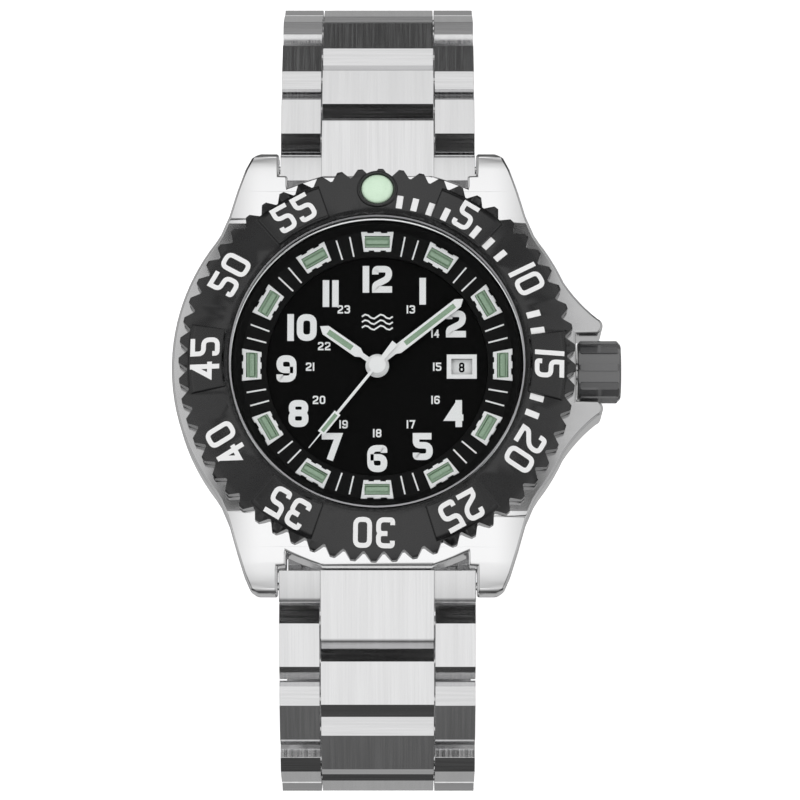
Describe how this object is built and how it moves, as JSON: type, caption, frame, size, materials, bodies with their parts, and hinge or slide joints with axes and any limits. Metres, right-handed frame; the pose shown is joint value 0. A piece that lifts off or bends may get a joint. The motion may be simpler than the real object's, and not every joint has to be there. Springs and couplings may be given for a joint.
{
  "type": "dive watch",
  "caption": "Steel dive watch with a black rotating bezel, luminous hands and markers, date window, black crown and a link bracelet with a folding clasp.",
  "frame": {"origin": "point on the clasp's flat underside straight below the centre of the dial", "axes": "+Z out of the dial, +Y towards 12 o'clock, +X towards the crown at 3 o'clock"},
  "size_m": [0.0495, 0.0913, 0.0588],
  "materials": {
    "polished_steel": "mirror polished stainless steel",
    "brushed_steel": "lengthwise brushed stainless steel with polished edges",
    "black_bezel": "satin black coating over steel",
    "black_crown": "gloss black coating over steel",
    "crystal_glass": "flat mineral glass with a polished edge",
    "black_dial": "matte black lacquer with white print",
    "grey_chapter": "matte dark grey",
    "white_paint": "satin white lacquer",
    "green_lume": "pale green luminous compound",
    "mint_lume": "pale mint luminous pearl",
    "gasket_rubber": "black nitrile rubber",
    "movement_brass": "gilt brass",
    "movement_steel": "nickel-plated steel",
    "white_plastic": "white moulded plastic",
    "green_board": "solder-masked board with one chip",
    "copper_coil": "enamelled copper wire",
    "battery_case": "plain steel button cell"
  },
  "bodies": {
    "case": {"case_body": "polished_steel", "caseback": "brushed_steel", "caseback_gasket": "gasket_rubber", "crystal": "crystal_glass", "crystal_gasket": "gasket_rubber", "bezel_click_spring": "movement_steel", "crown_tube": "polished_steel", "movement_holder": "white_plastic", "main_plate": "movement_brass", "train_bridge": "movement_steel", "battery": "battery_case", "battery_clamp": "movement_steel", "circuit_board": "green_board", "stator": "movement_steel", "coil": "copper_coil", "dial": "black_dial", "date_window_frame": "white_paint", "chapter_ring": "grey_chapter", "hour_markers": "white_paint", "marker_tubes": "green_lume", "end_link_upper": "brushed_steel", "end_link_lower": "brushed_steel", "lug_spring_bars": "brushed_steel"},
    "bezel": {"bezel_ring": "black_bezel", "bezel_pearl": "mint_lume"},
    "stem_slide": {"setting_lever": "movement_steel"},
    "crown": {"crown": "black_crown", "crown_gasket": "gasket_rubber", "winding_stem": "movement_steel"},
    "seconds": {"second_hand": "white_paint", "seconds_wheel": "movement_brass"},
    "minutes": {"minute_hand": "white_paint", "minute_wheel": "movement_brass"},
    "hours": {"hour_hand": "white_paint", "hour_wheel": "movement_brass"},
    "third_wheel": {"third_wheel": "movement_brass"},
    "intermediate_wheel": {"intermediate_wheel": "movement_brass"},
    "rotor": {"rotor": "movement_steel"},
    "minute_work_wheel": {"minute_work_wheel": "movement_brass"},
    "date_disc": {"date_disc": "white_paint"},
    "upper_link_1": {"upper_link_1": "brushed_steel"},
    "upper_link_2": {"upper_link_2": "brushed_steel"},
    "upper_link_3": {"upper_link_3": "brushed_steel"},
    "upper_link_4": {"upper_link_4": "brushed_steel"},
    "upper_link_5": {"upper_link_5": "brushed_steel"},
    "upper_link_6": {"upper_link_6": "brushed_steel"},
    "upper_link_7": {"upper_link_7": "brushed_steel"},
    "lower_link_1": {"lower_link_1": "brushed_steel"},
    "lower_link_2": {"lower_link_2": "brushed_steel"},
    "lower_link_3": {"lower_link_3": "brushed_steel"},
    "lower_link_4": {"lower_link_4": "brushed_steel"},
    "lower_link_5": {"lower_link_5": "brushed_steel"},
    "lower_link_6": {"lower_link_6": "brushed_steel"},
    "lower_link_7": {"lower_link_7": "brushed_steel"},
    "clasp_cover": {"clasp_cover": "brushed_steel", "clasp_pins": "brushed_steel"},
    "clasp_outer_blade": {"clasp_outer_blade": "brushed_steel"},
    "clasp_inner_blade": {"clasp_inner_blade": "brushed_steel"},
    "clasp_button_right": {"clasp_button_right": "brushed_steel"},
    "clasp_button_left": {"clasp_button_left": "brushed_steel"}
  },
  "joints": [
    {"name": "bezel_rotation", "type": "hinge", "parent": "case", "child": "bezel", "pos_m": [0, 0, 0.0562], "axis": [0, 0, 1], "continuous": true},
    {"name": "second_hand_turn", "type": "hinge", "parent": "case", "child": "seconds", "pos_m": [0, 0, 0.0502], "axis": [0, 0, -1], "continuous": true},
    {"name": "minute_hand_turn", "type": "hinge", "parent": "case", "child": "minutes", "pos_m": [0, 0, 0.0509], "axis": [0, 0, -1], "continuous": true},
    {"name": "hour_hand_turn", "type": "hinge", "parent": "case", "child": "hours", "pos_m": [0, 0, 0.0531], "axis": [0, 0, -1], "continuous": true},
    {"name": "third_wheel_turn", "type": "hinge", "parent": "case", "child": "third_wheel", "pos_m": [-0.00376, -0.00137, 0.0503], "axis": [0, 0, -1], "continuous": true},
    {"name": "intermediate_wheel_turn", "type": "hinge", "parent": "case", "child": "intermediate_wheel", "pos_m": [0.00306, -0.00257, 0.0506], "axis": [0, 0, -1], "continuous": true},
    {"name": "rotor_turn", "type": "hinge", "parent": "case", "child": "rotor", "pos_m": [0.00194, -0.00567, 0.0502], "axis": [0, 0, -1], "continuous": true},
    {"name": "minute_work_wheel_turn", "type": "hinge", "parent": "case", "child": "minute_work_wheel", "pos_m": [-0.00063, 0.00355, 0.0527], "axis": [0, 0, -1], "continuous": true},
    {"name": "date_disc_turn", "type": "hinge", "parent": "case", "child": "date_disc", "pos_m": [0, 0, 0.0537], "axis": [0, 0, -1], "continuous": true},
    {"name": "crown_pull", "type": "slide", "parent": "case", "child": "stem_slide", "axis": [1, 0, 0], "range_m": [0, 0.001]},
    {"name": "crown_turn", "type": "hinge", "parent": "stem_slide", "child": "crown", "pos_m": [0.022, 0, 0.0507], "axis": [1, 0, 0], "continuous": true},
    {"name": "upper_link_1_hinge", "type": "hinge", "parent": "case", "child": "upper_link_1", "pos_m": [0, 0.0273, 0.0456], "axis": [1, 0, 0], "range_deg": [0, 20.4]},
    {"name": "upper_link_2_hinge", "type": "hinge", "parent": "upper_link_1", "child": "upper_link_2", "pos_m": [0, 0.03504, 0.04142], "axis": [1, 0, 0], "range_deg": [0, 17.3]},
    {"name": "upper_link_3_hinge", "type": "hinge", "parent": "upper_link_2", "child": "upper_link_3", "pos_m": [0, 0.04171, 0.03568], "axis": [1, 0, 0], "range_deg": [0, 32.6]},
    {"name": "upper_link_4_hinge", "type": "hinge", "parent": "upper_link_3", "child": "upper_link_4", "pos_m": [0, 0.04497, 0.0275], "axis": [1, 0, 0], "range_deg": [0, 31.7]},
    {"name": "upper_link_5_hinge", "type": "hinge", "parent": "upper_link_4", "child": "upper_link_5", "pos_m": [0, 0.0442, 0.01874], "axis": [1, 0, 0], "range_deg": [0, 29.8]},
    {"name": "upper_link_6_hinge", "type": "hinge", "parent": "upper_link_5", "child": "upper_link_6", "pos_m": [0, 0.03983, 0.0111], "axis": [1, 0, 0], "range_deg": [0, 29.1]},
    {"name": "upper_link_7_hinge", "type": "hinge", "parent": "upper_link_6", "child": "upper_link_7", "pos_m": [0, 0.03272, 0.00591], "axis": [1, 0, 0], "range_deg": [0, 24.5]},
    {"name": "clasp_cover_hinge", "type": "hinge", "parent": "upper_link_7", "child": "clasp_cover", "pos_m": [0, 0.02428, 0.0034], "axis": [1, 0, 0], "range_deg": [0, 21.6]},
    {"name": "lower_link_1_hinge", "type": "hinge", "parent": "case", "child": "lower_link_1", "pos_m": [0, -0.0273, 0.0456], "axis": [-1, 0, 0], "range_deg": [0, 14.9]},
    {"name": "lower_link_2_hinge", "type": "hinge", "parent": "lower_link_1", "child": "lower_link_2", "pos_m": [0, -0.03541, 0.04218], "axis": [-1, 0, 0], "range_deg": [0, 28.1]},
    {"name": "lower_link_3_hinge", "type": "hinge", "parent": "lower_link_2", "child": "lower_link_3", "pos_m": [0, -0.04152, 0.03585], "axis": [-1, 0, 0], "range_deg": [0, 40.3]},
    {"name": "lower_link_4_hinge", "type": "hinge", "parent": "lower_link_3", "child": "lower_link_4", "pos_m": [0, -0.04285, 0.02715], "axis": [-1, 0, 0], "range_deg": [0, 27.7]},
    {"name": "lower_link_5_hinge", "type": "hinge", "parent": "lower_link_4", "child": "lower_link_5", "pos_m": [0, -0.04072, 0.01861], "axis": [-1, 0, 0], "range_deg": [0, 26.8]},
    {"name": "lower_link_6_hinge", "type": "hinge", "parent": "lower_link_5", "child": "lower_link_6", "pos_m": [0, -0.03557, 0.01147], "axis": [-1, 0, 0], "range_deg": [0, 25]},
    {"name": "lower_link_7_hinge", "type": "hinge", "parent": "lower_link_6", "child": "lower_link_7", "pos_m": [0, -0.0283, 0.00653], "axis": [-1, 0, 0], "range_deg": [0, 22.4]},
    {"name": "clasp_fold", "type": "hinge", "parent": "clasp_cover", "child": "clasp_outer_blade", "pos_m": [0, -0.015, 0.0023], "axis": [1, 0, 0], "range_deg": [0, 60]},
    {"name": "clasp_unfold", "type": "hinge", "parent": "clasp_outer_blade", "child": "clasp_inner_blade", "pos_m": [0, 0.013, 0.0035], "axis": [1, 0, 0], "range_deg": [-60, 0]},
    {"name": "button_right_press", "type": "slide", "parent": "clasp_cover", "child": "clasp_button_right", "axis": [-1, 0, 0], "range_m": [0, 0.0006], "stiffness_N_per_m": 800, "springref_m": -0.001},
    {"name": "button_left_press", "type": "slide", "parent": "clasp_cover", "child": "clasp_button_left", "axis": [1, 0, 0], "range_m": [0, 0.0006], "stiffness_N_per_m": 800, "springref_m": -0.001}
  ],
  "couplings": [
    {"joint": "minute_hand_turn", "follows": "second_hand_turn", "ratio": 0.016667},
    {"joint": "hour_hand_turn", "follows": "second_hand_turn", "ratio": 0.0013889},
    {"joint": "third_wheel_turn", "follows": "second_hand_turn", "ratio": -0.13333},
    {"joint": "intermediate_wheel_turn", "follows": "second_hand_turn", "ratio": -3},
    {"joint": "rotor_turn", "follows": "second_hand_turn", "ratio": 30},
    {"joint": "minute_work_wheel_turn", "follows": "second_hand_turn", "ratio": -0.0055556},
    {"joint": "clasp_unfold", "follows": "clasp_fold", "ratio": -1}
  ]
}
